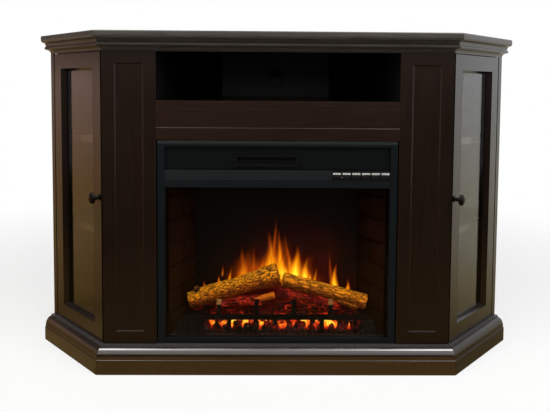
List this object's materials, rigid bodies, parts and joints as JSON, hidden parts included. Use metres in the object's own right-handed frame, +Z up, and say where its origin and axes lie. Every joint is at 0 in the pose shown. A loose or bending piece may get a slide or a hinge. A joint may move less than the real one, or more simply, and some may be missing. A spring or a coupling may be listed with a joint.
{
  "type": "corner fireplace",
  "caption": "Corner media fireplace: V-backed dark wood cabinet with canted glass doors, an open media bay and an electric log insert.",
  "frame": {"origin": "centre of the overall box at floor level", "axes": "+X to the viewer's right, +Y to the back, into the room corner, +Z up"},
  "size_m": [1.2542, 0.623, 0.82],
  "materials": {
    "espresso_wood": "dark espresso stain under satin lacquer, fine long grain",
    "back_board": "dark printed hardboard, matt",
    "door_glass": "clear 3 mm float glass",
    "fire_glass": "lightly smoked tempered glass",
    "plated_steel": "zinc-plated",
    "nylon": "natural nylon",
    "magnet": "nickel-plated magnets",
    "bead_plastic": "dark brown extruded strip",
    "bronze": "oil-rubbed bronze, satin with warmer edges",
    "black_steel": "fine-textured black powder coat",
    "case_steel": "matt black coated sheet",
    "brick_board": "moulded brick pattern, sooty brown",
    "ember_resin": "translucent charred resin with glowing cracks",
    "grate_iron": "matt black",
    "log_resin": "painted bark with charred patches",
    "screen_acrylic": "dark translucent screen that shows the flame light",
    "bright_aluminium": "bright",
    "circuit_board": "green board with small lamps",
    "heater_ceramic": "pale finned ceramic",
    "black_plastic": "satin black moulding"
  },
  "bodies": {
    "cabinet": {"top_panel": "espresso_wood", "crown_front": "espresso_wood", "crown_left": "espresso_wood", "crown_right": "espresso_wood", "top_rails": "espresso_wood", "corner_posts": "espresso_wood", "column_left": "espresso_wood", "column_right": "espresso_wood", "divider_left": "espresso_wood", "divider_right": "espresso_wood", "side_panel_left": "espresso_wood", "side_panel_right": "espresso_wood", "floor_panel": "espresso_wood", "plinth_frame": "espresso_wood", "base_front": "espresso_wood", "base_left": "espresso_wood", "base_right": "espresso_wood", "media_shelf": "espresso_wood", "header_rail": "espresso_wood", "header_trim": "espresso_wood", "cabinet_shelves": "espresso_wood", "back_panel": "back_board", "shelf_pins": "plated_steel", "pivot_bushes": "nylon", "door_catches": "magnet", "trim_frame": "black_steel", "upper_panel": "black_steel", "control_panel": "black_steel", "lower_rail": "black_steel", "heater_grille": "black_steel", "insert_case": "case_steel", "front_glass": "fire_glass", "brick_liners": "brick_board", "ember_bed": "ember_resin", "grate": "grate_iron", "log_set": "log_resin", "flame_screen": "screen_acrylic", "flicker_motor": "case_steel", "led_strip": "circuit_board", "blower_housing": "case_steel", "heater_element": "heater_ceramic", "power_inlet": "black_plastic"},
    "door_left": {"door_left_fittings": "plated_steel", "door_left_frame": "espresso_wood", "door_left_glass": "door_glass", "door_left_beads": "bead_plastic", "door_left_knob": "bronze"},
    "door_right": {"door_right_fittings": "plated_steel", "door_right_frame": "espresso_wood", "door_right_glass": "door_glass", "door_right_beads": "bead_plastic", "door_right_knob": "bronze"},
    "flicker": {"flicker_spindle": "bright_aluminium"},
    "blower": {"blower_wheel": "bright_aluminium"},
    "push_1": {"button_1": "black_plastic"},
    "push_2": {"button_2": "black_plastic"},
    "push_3": {"button_3": "black_plastic"},
    "push_4": {"button_4": "black_plastic"},
    "push_5": {"button_5": "black_plastic"},
    "push_6": {"button_6": "black_plastic"}
  },
  "joints": [
    {"name": "door_left_swing", "type": "hinge", "parent": "cabinet", "child": "door_left", "pos_m": [-0.58502, -0.11029, 0.42], "axis": [0, 0, -1], "range_deg": [0, 95]},
    {"name": "door_right_swing", "type": "hinge", "parent": "cabinet", "child": "door_right", "pos_m": [0.58502, -0.11029, 0.42], "axis": [0, 0, 1], "range_deg": [0, 95]},
    {"name": "flicker_spin", "type": "hinge", "parent": "cabinet", "child": "flicker", "pos_m": [0, -0.1325, 0.111], "axis": [1, 0, 0], "continuous": true},
    {"name": "blower_spin", "type": "hinge", "parent": "cabinet", "child": "blower", "pos_m": [-0.028, -0.2225, 0.512], "axis": [1, 0, 0], "continuous": true},
    {"name": "push_1_press", "type": "slide", "parent": "cabinet", "child": "push_1", "axis": [0, 1, 0], "range_m": [0, 0.001], "stiffness_N_per_m": 300},
    {"name": "push_2_press", "type": "slide", "parent": "cabinet", "child": "push_2", "axis": [0, 1, 0], "range_m": [0, 0.001], "stiffness_N_per_m": 300},
    {"name": "push_3_press", "type": "slide", "parent": "cabinet", "child": "push_3", "axis": [0, 1, 0], "range_m": [0, 0.001], "stiffness_N_per_m": 300},
    {"name": "push_4_press", "type": "slide", "parent": "cabinet", "child": "push_4", "axis": [0, 1, 0], "range_m": [0, 0.001], "stiffness_N_per_m": 300},
    {"name": "push_5_press", "type": "slide", "parent": "cabinet", "child": "push_5", "axis": [0, 1, 0], "range_m": [0, 0.001], "stiffness_N_per_m": 300},
    {"name": "push_6_press", "type": "slide", "parent": "cabinet", "child": "push_6", "axis": [0, 1, 0], "range_m": [0, 0.001], "stiffness_N_per_m": 300}
  ]
}
